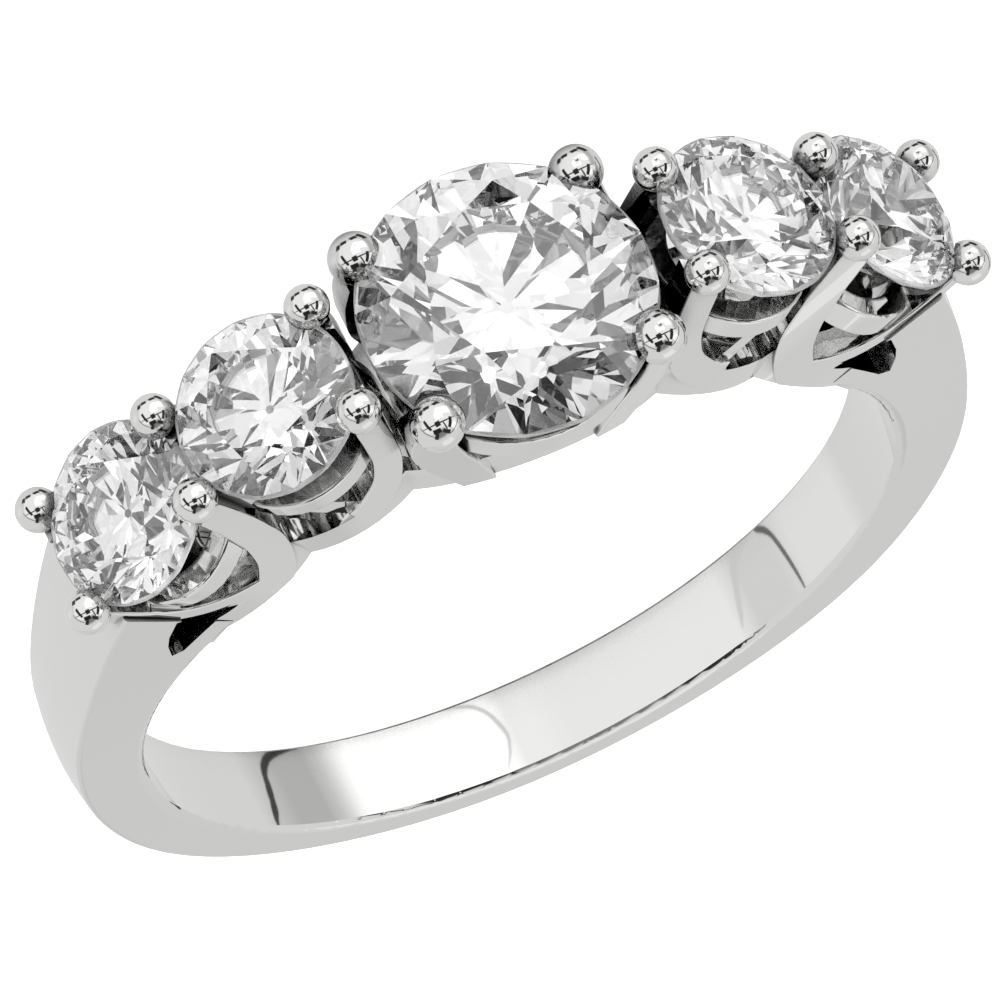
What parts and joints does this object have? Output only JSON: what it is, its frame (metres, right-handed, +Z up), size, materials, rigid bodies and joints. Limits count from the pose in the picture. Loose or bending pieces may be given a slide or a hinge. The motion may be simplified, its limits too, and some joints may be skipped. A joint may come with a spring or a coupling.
{
  "type": "five stone ring",
  "caption": "Finger ring with a row of round cut stones in a trellis of broad flat arms with ball-ended claws, on a plain tapering band.",
  "frame": {"origin": "middle of the ring's outline on the surface that the ring lies on", "axes": "+Z up from that surface, close to the line of the finger hole; +Y from the stones to the back of the band; +X along the row of stones, from the right ones to the left ones as the picture shows them"},
  "size_m": [0.0206, 0.0222, 0.0062],
  "materials": {
    "white_metal": "bright polished white metal",
    "clear_stone": "polished clear faceted stone"
  },
  "bodies": {
    "root": {"ring_mount": "white_metal", "centre_stone": "clear_stone", "left_inner_stone": "clear_stone", "left_outer_stone": "clear_stone", "right_inner_stone": "clear_stone", "right_outer_stone": "clear_stone"}
  },
  "joints": []
}
